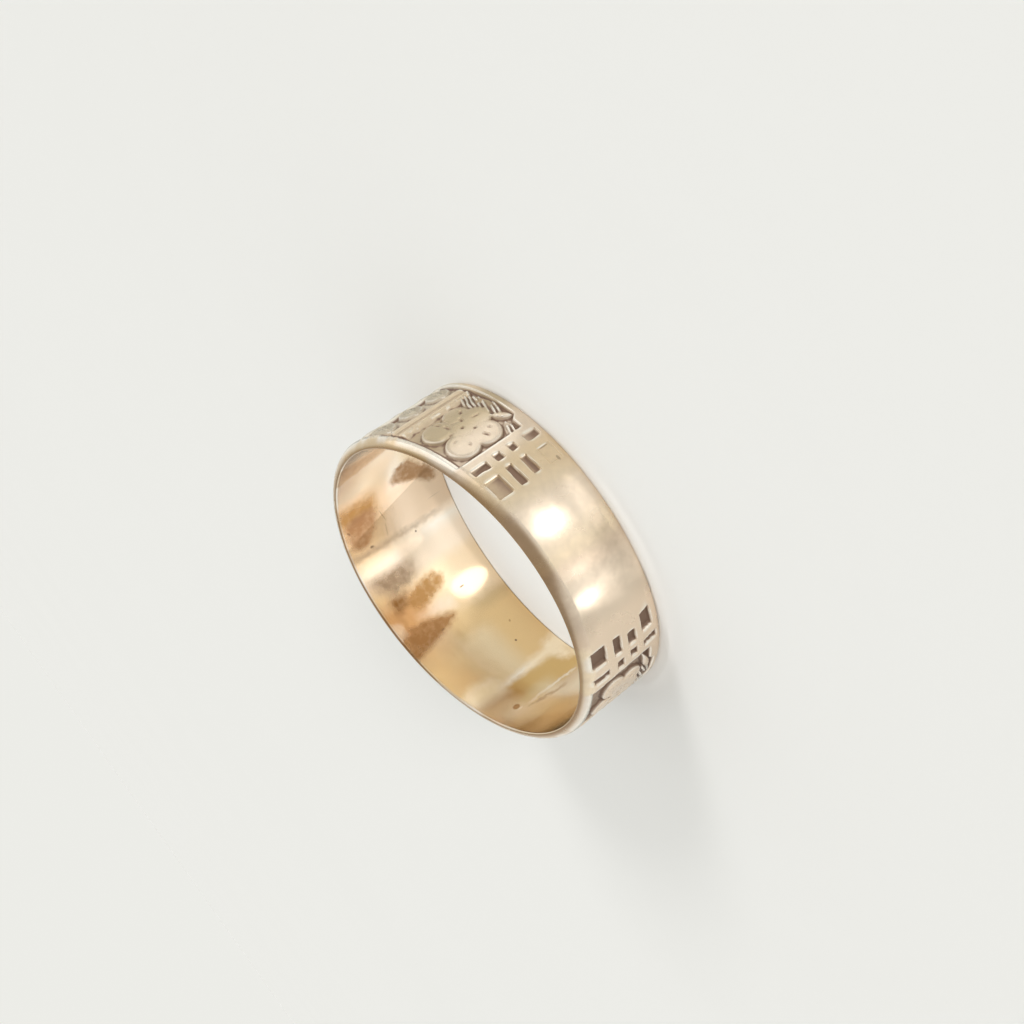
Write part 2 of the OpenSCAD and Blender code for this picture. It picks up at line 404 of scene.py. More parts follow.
def lattices(angle, z, rim):
    """Depth and darkness of the cells, patina with painted shade that deepens towards each cell's lower
    edge; a lattice at the back copies the one diagonally across from it.
    """
    depth, dark = np.zeros_like(z), np.zeros_like(z)
    out = np.abs(angle)
    share = z / rim
    wander = CELL_WANDER * grain(angle * DEGREE, z, 0.45, 51)
    for back in (False, True):
        away = 180 - out if back else out
        for right in (False, True):
            side = (angle > 0) == right
            for cell in RIGHT_CELLS if right != back else LEFT_CELLS:
                level, tall = (cell["low"] + cell["high"]) / 2, cell["high"] - cell["low"]
                middle = (cell["near"] + cell["far"]) / 2 + cell["lean"] * (share - level) / tall
                across = np.abs(away - middle) - (cell["far"] - cell["near"]) / 2
                up = np.abs(share - level) - tall / 2
                sunk = inside(np.maximum(across * DEGREE, up * rim) + wander) * side
                depth = np.maximum(depth, sunk * cell["deep"])
                # Painted shade: each cell grows darker towards its lower edge
                low_down = np.clip((cell["high"] - share) / tall, 0, 1)
                tarnish_and_shade = cell["dark"] * (CELL_DARK_TOP + CELL_DARK_GAIN * low_down)
                dark = np.maximum(dark, sunk * tarnish_and_shade)
    return GROUND_DEPTH * depth, dark


def relief(angle, z):
    """Depth of the whole pattern below the band's outside, and the darkness of its cells, patina with
    painted shade.
    """
    rim = upper_rim(angle)
    depth, dark = lattices(angle, z, rim)
    for side in (-1, 1):
        x = side * (angle - side * 90) * DEGREE
        near = np.abs(x) < (GROUND_HALF + 2) * DEGREE
        depth[near] = np.maximum(depth[near], chased_side(side, x[near], z[near], rim[near]))
    return depth, dark


def spread_angles():
    """Angles of the mesh's steps, closer together where the pattern is finer."""
    fine = np.linspace(-180, 180, FINE_STEPS + 1)
    density = np.interp(np.abs(fine), DENSITY_ANGLES, DENSITIES)
    total = np.concatenate([[0], np.cumsum((density[1:] + density[:-1]) / 2)])
    return np.interp(np.linspace(0, total[-1], STEPS + 1), total, fine)


def corner(r, z, start, edge, count):
    """Points of a rounded corner about r and z, a quarter turn that starts at an angle in degrees."""
    turns = np.radians(start + np.linspace(0, 90, count))
    return [(r + edge[0] * math.cos(turn), z + edge[1] * math.sin(turn)) for turn in turns]


def wall(r, low, high, rows):
    """Points along a wall from low to high, with both ends."""
    return [(r, low + (high - low) * row / (rows + 1)) for row in range(rows + 2)]


def section():
    """Points round the band's rounded section, from the outside of the lower rim up, over and back."""
    low_out, high_out = LOWER_EDGE[1], BACK_W - UPPER_EDGE[1]
    inner, low_in, high_in = INNER_R + INNER_EDGE[0], INNER_EDGE[1], BACK_W - INNER_EDGE[1]
    points = corner(OUTER_R - LOWER_EDGE[0], low_out, -90, LOWER_EDGE, OUTER_POINTS)
    points += wall(OUTER_R, low_out + HOLD, high_out - HOLD, OUTER_ROWS)
    points += corner(OUTER_R - UPPER_EDGE[0], high_out, 0, UPPER_EDGE, OUTER_POINTS)
    points += corner(inner, high_in, 90, INNER_EDGE, INNER_POINTS)
    points += wall(INNER_R, high_in - HOLD, low_in + HOLD, INNER_ROWS)
    points += corner(inner, low_in, 180, INNER_EDGE, INNER_POINTS)
    return np.array(points + points[:1])


def blurred(grid, reach, spacing, axis):
    """Mean of a grid over a reach either side along one axis, whose points are spacing apart."""
    count = max(int(round(reach / spacing)), 1)
    return np.mean([np.roll(grid, shift, axis) for shift in range(-count, count + 1)], axis=0)


def shape(angle, points):
    """Radius and height of every point of the section at every angle, and what its finish depends on."""
    radius, z = (np.repeat(column[:, None], len(angle), axis=1) for column in points.T)
    rim = upper_rim(angle, radius)
    share = (z - KEEP) / (BACK_W - 2 * KEEP)
    height = np.where(z < KEEP, z, np.where(z > BACK_W - KEEP, rim - (BACK_W - z),
                                            KEEP + share * (rim - 2 * KEEP)))
    angles = np.broadcast_to(angle, height.shape)
    outside = radius > OUTER_R - 1e-4
    depth, dark = (np.where(outside, layer, 0) for layer in relief(angles, height))
    sunk = depth / GROUND_DEPTH
    row_spacing = (SIDE_W - 2 * KEEP) / OUTER_ROWS
    around = blurred(blurred(sunk, MEAN_REACH, row_spacing, 0), MEAN_REACH, COLUMN_SPACING, 1)
    # Crevices darken where the relief lies deeper than around it, and cells keep their own darkness: patina
    # with painted shade
    crevice = np.where(dark > 0, dark, np.clip(CREVICE_GAIN * (sunk - around), 0, 1))
    # Raised edges, later lightened: wear with a painted highlight
    worn = np.clip(WEAR_GLINT_GAIN * (around - sunk), 0, 1)
    return radius - depth, height, {"recess": np.clip(sunk, 0, 1), "crevice": crevice, "worn": worn}


def make_band():
    """The ring: a fine grid is rolled up along its section and round the finger, and its seams merged."""
    angle = spread_angles()
    radius, height, finishes = shape(angle, section())
    bm = bmesh.new()
    rows, columns = radius.shape
    bmesh.ops.create_grid(bm, x_segments=columns - 1, y_segments=rows - 1, size=1)
    flat = np.array([vert.co for vert in bm.verts])
    column = np.round((flat[:, 0] + 1) / 2 * (columns - 1)).astype(int)
    row = np.round((flat[:, 1] + 1) / 2 * (rows - 1)).astype(int)
    turn = np.radians(angle)
    spots = np.stack([radius * np.sin(turn), -radius * np.cos(turn), height], axis=-1) * MM
    layers = [(bm.verts.layers.float.new(name), values) for name, values in finishes.items()]
    for vert, spot in zip(bm.verts, spots[row, column].tolist()):
        vert.co = spot
    for layer, values in layers:
        for vert, value in zip(bm.verts, values[row, column].tolist()):
            vert[layer] = value
    bmesh.ops.remove_doubles(bm, verts=bm.verts[:], dist=SAME_SPOT)
    bmesh.ops.recalc_face_normals(bm, faces=bm.faces[:])
    for face in bm.faces:
        face.smooth = True
    mesh = bpy.data.meshes.new("band_gold")
    bm.to_mesh(mesh)
    bm.free()
    piece = bpy.data.objects.new("chased_band", mesh)
    bpy.context.scene.collection.objects.link(piece)
    return piece


# Camera: the photograph's place and turn beside the ring, in millimetres and degrees
CAMERA_AT = (14.523, -59.455, 25.069)
CAMERA_AIM = (1.919, -0.513, 0.845)
CAMERA_ROLL = -125.26
FOCAL_PIXELS = 1200
FRAME_PIXELS = 1024
SENSOR = 36.0


def make_camera():
    """Looks along the photograph's line of sight, turned about it as the photograph is."""
    data = bpy.data.cameras.new("camera")
    data.sensor_width = SENSOR
    data.lens = SENSOR * FOCAL_PIXELS / FRAME_PIXELS
    data.clip_start = 0.001
    data.clip_end = 10
    camera = bpy.data.objects.new("camera", data)
    bpy.context.scene.collection.objects.link(camera)
    place = Vector(CAMERA_AT) * MM
    look = (Vector(CAMERA_AIM) * MM - place).to_track_quat("-Z", "Y").to_matrix().to_4x4()
    roll = Matrix.Rotation(math.radians(CAMERA_ROLL), 4, "Z")
    camera.matrix_world = Matrix.Translation(place) @ look @ roll
    bpy.context.scene.camera = camera


class Wire:
    """A shader socket that takes part in arithmetic."""

    def __init__(self, tree, socket):
        self.tree = tree
        self.socket = socket

    def math(self, operation, first, second):
        node = self.tree.nodes.new("ShaderNodeMath")
        node.operation = operation
        for slot, value in zip(node.inputs, (first, second)):
            plug(self.tree, slot, value)
        return Wire(self.tree, node.outputs[0])

    def __add__(self, other):
        return self.math("ADD", self, other)

    def __sub__(self, other):
        return self.math("SUBTRACT", self, other)

    def __mul__(self, other):
        return self.math("MULTIPLY", self, other)

    def __truediv__(self, other):
        return self.math("DIVIDE", self, other)

    def __rsub__(self, other):
        return self.math("SUBTRACT", other, self)

    __radd__ = __add__
    __rmul__ = __mul__


def plug(tree, socket, value):
    """Links a wire to a socket, or sets the socket's own value."""
    if isinstance(value, Wire):
        tree.links.new(value.socket, socket)
    else:
        socket.default_value = value


# How far the corners of a patch, stain and painted reflection alike, are rounded
PATCH_ROUND = 0.5


class Nodes:
    """The node tree of a material or the world."""

    def __init__(self, owner):
        owner.use_nodes = True
        self.tree = owner.node_tree
        self.tree.nodes.clear()

    def add(self, kind, settings=(), sockets=(), ramp=(), out=0):
        node = self.tree.nodes.new("ShaderNode" + kind)
        for key, value in dict(settings).items():
            setattr(node, key, value)
        for stop, (place, colour) in enumerate(ramp):
            stops = node.color_ramp.elements
            element = stops[stop] if stop < 2 else stops.new(place)
            element.position = place
            element.color = colour
        for key, value in dict(sockets).items():
            plug(self.tree, node.inputs[key], value)
        return Wire(self.tree, node.outputs[out]) if node.outputs else node

    def step(self, low, high, value):
        """Rises smoothly from 0 at low to 1 at high."""
        return self.add("MapRange", {"interpolation_type": "SMOOTHSTEP"},
                        {"Value": value, "From Min": low, "From Max": high})

    def noise(self, place, scale, detail=3.0, rough=0.5, out=0):
        sockets = {"Vector": place, "Scale": scale, "Detail": detail, "Roughness": rough}
        return self.add("TexNoise", {}, sockets, out=out)

    def parts(self, vector, count=3):
        """The first parts of a vector or a colour."""
        node = self.tree.nodes.new("ShaderNodeSeparateXYZ")
        plug(self.tree, node.inputs[0], vector)
        return [Wire(self.tree, output) for output in node.outputs[:count]]

    def dot(self, first, second):
        return self.add("VectorMath", {"operation": "DOT_PRODUCT"}, {0: first, 1: second}, out=1)

    def stretched(self, place, x, y, z):
        return self.add("VectorMath", {"operation": "MULTIPLY"}, {0: place, 1: (x, y, z)})

    def mix(self, share, first, second):
        return self.add("Mix", {"data_type": "RGBA"}, {0: share, 6: first, 7: second}, out=2)

    def tones(self, table, angle, middle):
        """Colour from a table of angles and colours that reaches half a turn either way from its middle."""
        stops = [((stop - middle) / 360 + 0.5, colour) for stop, colour in table]
        return self.add("ValToRGB", {}, {"Fac": (angle - middle) / 360 + 0.5}, ramp=stops)

    def patch(self, spot, radius, corners, soft):
        """1 within the lines through all sides of a patch, softly; spot holds arc, height and 1."""
        points = [Vector((math.radians(angle) * radius, z)) for angle, z in corners]
        middle = sum(points, Vector((0, 0))) / len(points)
        reach = None
        for start, end in zip(points, points[1:] + points[:1]):
            across = Vector((end.y - start.y, start.x - end.x)).normalized()
            if across.dot(middle - start) > 0:
                across = -across
            edge = self.dot(spot, (across.x, across.y, -across.dot(start)))
            if reach:
                edge = self.add("Math", {"operation": "SMOOTH_MAX"}, {0: reach, 1: edge, 2: PATCH_ROUND})
            reach = edge
        return self.step(soft, -soft, reach)


# Tones of the gold as it wears, is polished and takes stains, and of the painted highlights and painted
# reflections on it
CHAMPAGNE = (0.81, 0.67, 0.495, 1)
ROSE = (0.87, 0.71, 0.55, 1)
DULL_ROSE = (0.72, 0.60, 0.47, 1)
CREAM = (0.96, 0.80, 0.58, 1)
PEACH = (0.91, 0.73, 0.49, 1)
OLIVE = (0.67, 0.55, 0.365, 1)
PALE = (0.95, 0.81, 0.65, 1)
IVORY = (0.97, 0.91, 0.81, 1)
DULL_IVORY = (0.92, 0.83, 0.68, 1)
LILAC = (0.88, 0.77, 0.68, 1)
FROST = (0.94, 0.85, 0.67, 1)
BEIGE = (0.76, 0.60, 0.44, 1)
BUFF = (0.87, 0.76, 0.58, 1)
GOLDEN = (0.90, 0.72, 0.50, 1)
STRAW = (0.82, 0.67, 0.445, 1)
SAND = (0.78, 0.65, 0.40, 1)
HAY = (0.79, 0.57, 0.30, 1)
OCHRE = (0.64, 0.47, 0.26, 1)
BRASS = (0.69, 0.48, 0.21, 1)
TAN = (0.72, 0.56, 0.38, 1)
HONEY = (0.85, 0.72, 0.53, 1)
RUST = (0.69, 0.45, 0.25, 1)
COPPER = (0.50, 0.29, 0.12, 1)
AMBER = (0.60, 0.375, 0.17, 1)
CHESTNUT = (0.49, 0.295, 0.17, 1)
COCOA = (0.365, 0.22, 0.115, 1)
BROWN = (0.39, 0.215, 0.095, 1)
UMBER = (0.31, 0.16, 0.06, 1)
GREY = (0.42, 0.32, 0.235, 1)
GLOW = (1.0, 0.86, 0.64, 1)
WHITE = (1.0, 0.96, 0.88, 1)
# Dark patina of sunk places, also the colour of painted shade in crevices and cells, and of dark marks
TARNISH_AND_SHADE = (0.18, 0.115, 0.08, 1)
# Stains whose surface is duller
DULL = (COPPER, AMBER, CHESTNUT, COCOA, BROWN, UMBER, GREY)
# Tones of the outside at angles from the front, and of the inside near the lower rim, at mid height
# and near the upper rim; besides the gold's own tone they carry painted reflections, lighter and darker
# bands where the gold mirrors bright and dark things, and inside painted highlights in ivory and white
OUTSIDE = (
    (-120, CHAMPAGNE), (-60, ROSE), (-22, ROSE), (-16, DULL_ROSE), (-10, PALE), (-4, PALE), (1, ROSE),
    (5, CREAM), (13, PALE), (20, PALE), (24, CREAM), (28, PEACH), (36, PEACH), (41, PALE), (49, PALE),
    (56, OLIVE), (63, OLIVE), (68, CREAM), (74, CREAM), (80, FROST), (97.6, FROST), (102.4, CHAMPAGNE),
)
INSIDE_LOW = (
    (60, CHAMPAGNE), (114, TAN), (122, SAND), (140, BEIGE), (160, BEIGE), (163, PALE), (166, IVORY),
    (171, PALE), (177, PALE), (182, GOLDEN), (198, GOLDEN), (203, OCHRE), (208, HAY), (232, HAY),
    (236, GLOW), (240, BRASS), (250, BRASS), (254, TAN), (260, BUFF), (290, HONEY), (320, CHAMPAGNE),
)
INSIDE_MIDDLE = (
    (60, CHAMPAGNE), (114, DULL_IVORY), (120, IVORY), (134, IVORY), (144, ROSE), (160, ROSE),
    (163, PALE), (169, DULL_ROSE), (177, DULL_ROSE), (182, GOLDEN), (188, GOLDEN), (194, TAN),
    (203, OCHRE), (208, OCHRE), (214, STRAW), (234, STRAW), (236.5, IVORY), (238.5, BRASS),
    (243, BRASS), (248, SAND), (254, BUFF), (262, BUFF), (290, HONEY), (320, CHAMPAGNE),
)
INSIDE_HIGH = (
    (60, CHAMPAGNE), (116, IVORY), (121, WHITE), (132, WHITE), (137, ROSE), (157, BEIGE), (163, PALE),
    (168, WHITE), (173, LILAC), (179, CREAM), (187, RUST), (198, RUST), (204, TAN), (216, STRAW),
    (226, STRAW), (236, IVORY), (241, BUFF), (254, DULL_IVORY), (262, DULL_IVORY), (290, HONEY),
    (320, CHAMPAGNE),
)
# Tones of the line where the inside meets the upper rim: brown, amber, golden and tan, with painted glints
# in white
RIM_LINE_AND_GLINTS = (
    (60, BROWN), (116, BROWN), (124, GOLDEN), (134, GOLDEN), (142, AMBER), (216, AMBER), (221, WHITE),
    (238, WHITE), (244, AMBER), (250, GOLDEN), (256, WHITE), (260, BROWN), (300, TAN),
)
# Patches with corners, stains and painted reflections and highlights: wall, colour, strength, half width of
# the soft edge, and corners as angle and height; a patch fills what lies within the lines through all its
# sides, so a corner that turns inwards trims it
patch_columns = ("wall", "colour", "share", "soft", "corners")
PATCHES = rows_of(patch_columns, [
    # Inside, the tan, amber, brown and copper patches are partly tarnish and partly painted reflections of
    # dark things
    ("inside", TAN, 0.8, 0.2, ((112, 7.4), (124.5, 7.3), (120, 4.8), (118, 3.4), (112, 3.4))),
    ("inside", AMBER, 1.0, 0.45, ((137.5, 7.3), (146, 7.3), (146, 4.9), (139, 4.8))),
    ("inside", CHESTNUT, 1.0, 0.3, ((143.6, 6.7), (147.4, 7.15), (157, 7.04), (158.6, 6.3),
                                    (154.4, 5.4), (146, 4.9), (143.6, 5.0))),
    ("inside", COCOA, 1.0, 0.24, ((138.8, 3.6), (140, 3.5), (143.3, 2.4), (145.6, 0.5), (138.8, 1.2),
                                  (131.9, 1.95), (132.9, 2.95))),
    ("inside", COCOA, 1.0, 0.24, ((141.5, 2.6), (144.7, 1.9), (148.6, 1.4), (150, 0.9), (147.8, 0.4),
                                  (144.8, 0.5), (140, 1.1))),
    # A grey strip of painted shade along the seam
    ("inside", GREY, 0.8, 0.25, ((158.8, 7.5), (161.6, 7.5), (163, 5), (162.8, 1), (161, 1),
                                 (159.8, 5))),
    ("inside", GREY, 0.95, 0.5, ((171.4, 7.1), (177, 7.0), (182, 6.3), (180.8, 4.9), (178, 4.3),
                                 (172.5, 4.3))),
    ("inside", COPPER, 1.0, 0.3, ((183.6, 5.5), (187, 5.9), (192, 5.5), (190.2, 4.2), (188.4, 3.2),
                                  (184.1, 3.0), (180.8, 3.6), (182.4, 4.8))),
    ("inside", UMBER, 1.0, 0.35, ((182, 6.75), (188.6, 6.8), (187.2, 5.9), (182.2, 5.6))),
    ("inside", BROWN, 0.5, 0.15, ((187, 6.78), (198, 6.75), (198, 6.55), (187, 6.55))),
    # The two lilac patches are pale painted reflections
    ("inside", LILAC, 0.8, 0.16, ((189.4, 7.6), (197.6, 7.6), (197, 6.9), (190.5, 6.9))),
    ("inside", LILAC, 0.5, 0.35, ((191.8, 5.9), (194.6, 5.8), (197, 4.6), (198, 3.4), (191, 3.4),
                                  (192, 4.6))),
    ("inside", BROWN, 1.0, 0.3, ((194.6, 7.0), (199, 7.6), (207.4, 7.6), (205, 5.7), (202.4, 4.0),
                                 (199.6, 3.7), (197, 4.6), (195.4, 5.7))),
    # The white, glow and pale patches that follow are painted highlights
    ("inside", WHITE, 0.95, 0.4, ((227, 6.0), (230, 6.9), (239.4, 6.8), (239.6, 4.8), (231, 4.8))),
    ("inside", GLOW, 1.0, 0.15, ((236.6, 3.3), (237.6, 3.3), (238.2, 1.3), (235.5, 0.5), (232, 0.5),
                                 (235.6, 1.6))),
    ("inside", GLOW, 0.95, 0.4, ((231, 1.0), (237, 1.3), (244, 0.9), (247, -0.2), (230, -0.2))),
    ("inside", WHITE, 1.0, 0.06, ((239.4, 6.0), (240.6, 6.0), (239.3, 5.1), (238.3, 5.1))),
    ("inside", PALE, 0.9, 0.15, ((245, 6.9), (254, 6.7), (249, 6.1), (246.5, 6.2))),
    # A honey-coloured painted reflection
    ("inside", HONEY, 0.95, 0.14, ((254.1, 6.7), (290, 6.6), (289, 5.2), (268.1, 2.8), (265.5, 3.4),
                                   (262.9, 4.6), (251.9, 5.0))),
    # A white line of painted highlight on the seam's ridge, and a brown line beside it
    ("inside", WHITE, 1.0, 0.07, ((250.3, 4.7), (251.5, 4.7), (252.2, 0.9), (251.0, 0.9))),
    ("inside", BROWN, 0.75, 0.1, ((251.9, 4.9), (252.9, 4.8), (256.7, 2.3), (255.4, 2.0))),
    # Outside, grey patches darken the plain front beside the painted highlights; the first is a painted
    # reflection of a dark thing
    ("outside", GREY, 0.32, 0.5, ((-5.5, 2.7), (-0.5, 2.6), (9.5, 0.75), (7, 0.4), (-9.5, 0.55),
                                  (-8.5, 1.2))),
    ("outside", GREY, 0.3, 0.4, ((-16.2, 3.2), (-12.5, 5.0), (100, 9), (100, -3), (-10.2, 0.1),
                                 (-15.6, 2.0))),
    ("outside", GREY, 0.2, 0.45, ((-23, 4.5), (-14, 4.6), (-17, 3.6), (-21, 3.8))),
    ("outside", HAY, 0.6, 0.25, ((54, 4.9), (75, 5.4), (104, 6.2), (104, 6.8), (75, 6.1), (54, 5.6))),
    # A painted highlight along the near rim, left of the front
    ("outside", GLOW, 0.9, 0.2, ((-24, 4.35), (-44, 4.65), (-44, 5.4), (-24, 5.1))),
    ("outside", CREAM, 0.8, 0.1, ((-0.5, 0.42), (5, 0.72), (9, 0.6), (11, 0.35))),
])
# Round marks: wall, colour, strength, angle and height of the middle, half length and width, and turn
mark_columns = ("wall", "colour", "share", "angle", "z", "long", "wide", "turn")
MARKS = rows_of(mark_columns, [
    ("inside", TARNISH_AND_SHADE, 0.8, 223.4, 2.0, 0.08, 0.07, 0),
    ("inside", BROWN, 0.6, 215.3, 1.4, 0.09, 0.06, 20),
    ("inside", TARNISH_AND_SHADE, 0.8, 193.1, 2.4, 0.05, 0.16, 0),
    ("inside", TARNISH_AND_SHADE, 0.7, 159.4, 6.0, 0.08, 0.12, 0),
    ("inside", TARNISH_AND_SHADE, 0.8, 164.4, 3.1, 0.07, 0.06, 0),
    ("inside", TARNISH_AND_SHADE, 0.7, 148.7, 7.0, 0.13, 0.05, -35),
    ("inside", TARNISH_AND_SHADE, 0.5, 202.4, 5.0, 0.05, 0.14, 0),
    ("inside", GREY, 0.7, 150.3, 4.62, 0.5, 0.022, -12),
    ("inside", GREY, 0.7, 156.6, 4.72, 0.45, 0.022, 12),
    ("inside", GREY, 0.5, 155.7, 1.1, 0.02, 0.45, 0),
    ("inside", COPPER, 0.8, 248.4, 5.2, 0.2, 0.22, 0),
    # A painted glint
    ("inside", WHITE, 0.9, 250.3, 5.15, 0.05, 0.2, 0),
    # The outside's marks darken both ends of the shallow cell low on the right, and a white line, a painted
    # highlight, lights its far end
    ("outside", TARNISH_AND_SHADE, 0.5, 27.9, 0.62, 0.16, 0.07, 0),
    ("outside", TARNISH_AND_SHADE, 0.5, 33.3, 0.8, 0.04, 0.28, 0),
    ("outside", WHITE, 0.8, 33.8, 0.85, 0.04, 0.3, 0),
])


# Stains and painted reflections: their usual strength and how much it wanders; marks: where their edge
# begins and ends, as a share of their size squared, and how much it wanders
STAIN_AND_REFLECTION_SHARE = 0.92
STAIN_AND_REFLECTION_WANDER = 1.4
MARK_EDGE = (1.4, 0.6)
MARK_WANDER = 0.4


def stains_and_reflections(finish, wall, radius, colour, spot, arc, z, wander):
    """A colour with the patches and marks of one wall, stains with painted reflections and highlights among
    them; also how much of it the duller stains cover.
    """
    matte = 0.0
    uneven = STAIN_AND_REFLECTION_SHARE + wander * STAIN_AND_REFLECTION_WANDER
    for patch in PATCHES:
        if patch["wall"] == wall:
            share = finish.patch(spot, radius, patch["corners"], patch["soft"]) * patch["share"] * uneven
            share = finish.add("Clamp", {}, {"Value": share})
            colour = finish.mix(share, colour, patch["colour"])
            if patch["colour"] in DULL:
                matte = share + matte
    for mark in MARKS:
        if mark["wall"] == wall:
            x, y = arc - math.radians(mark["angle"]) * radius, z - mark["z"]
            c, s = math.cos(math.radians(mark["turn"])), math.sin(math.radians(mark["turn"]))
            along, across = (x * c + y * s) / mark["long"], (y * c - x * s) / mark["wide"]
            share = finish.step(*MARK_EDGE, along * along + across * across + wander * MARK_WANDER)
            colour = finish.mix(share * mark["share"], colour, mark["colour"])
    return colour, matte


# Noise over the gold: spots in a millimetre, detail, and strength of the detail
CLOUD = (0.35, 4)
STRAY = (2.6, 8, 0.68)
MOTTLE = (2.2, 5, 0.6)
SMUDGE = (0.8, 3)
# How far the tones wander in degrees, outside, inside and along the rim's line
OUTSIDE_WANDER = 6
INSIDE_WANDER = 3
LINE_WANDER = 8
# How far the outlines of stains and painted reflections stray along the wall and up it, and the heights
# over which the inside's tones pass from low to middle and from middle to high
STRAY_ALONG = 0.62
STRAY_UP = 0.7
MIDDLE_FROM = (1.8, 3.4)
HIGH_FROM = (4.2, 5.4)
# Distance past the inside's wall over which the outside's tones take over
OUTSIDE_FROM = (0.05, 0.12)
# Line along the far wall's rim, brown and amber with painted glints: the middle of its stretch from the
# back and the angles either side over which it fades, its edges past the inside's wall, the height where it
# begins, and its strength
LINE_MIDDLE = 8
LINE_FADE = (66, 52)
LINE_IN = (0.01, 0.04)
LINE_OUT = (0.12, 0.08)
LINE_ABOVE = (3, 4)
LINE_SHARE = 0.8
# Where the relief counts as a raised edge, as sunk or as creviced, between none of it and all of it
WEAR_GLINT_FROM = (0.12, 0.7)
SUNK_FROM = (0.06, 0.5)
CREVICE_FROM = (0.03, 0.45)
# Darkening of sunk places by patina, even and mottled; extra darkening of those left of the front between
# these angles;
# and darkening of crevices and cells, patina with painted shade
SUNK_DARK = 0.16
MOTTLED_DARK = 0.24
LEFT_DARK = 0.5
LEFT_FROM = (-20, -46)
LEFT_TO = (-110, -90)
CREVICE_DARK = 0.85
# Raised edges lightened with a painted highlight that also stands for their wear: even and mottled
WEAR_GLINT_SHARE = 0.4
WEAR_GLINT_MOTTLE = 0.6
# Roughness of the polished inside; what the outside, smudges, sunk places and stains add; what wear takes
POLISH = 0.13
OUTSIDE_DULL = 0.07
SMUDGE_DULL = 0.12
SUNK_DULL = 0.25
STAIN_DULL = 0.12
WORN_BRIGHT = 0.06
# Metal lost where patina and painted shade darken the gold, and the fine dents: spots in a metre each way,
# strength and depth in metres
TARNISH_DULL = 0.6
DENTS = (600, 600, 1500)
DENT_STRENGTH = 0.05
DENT_DEPTH = 0.0001


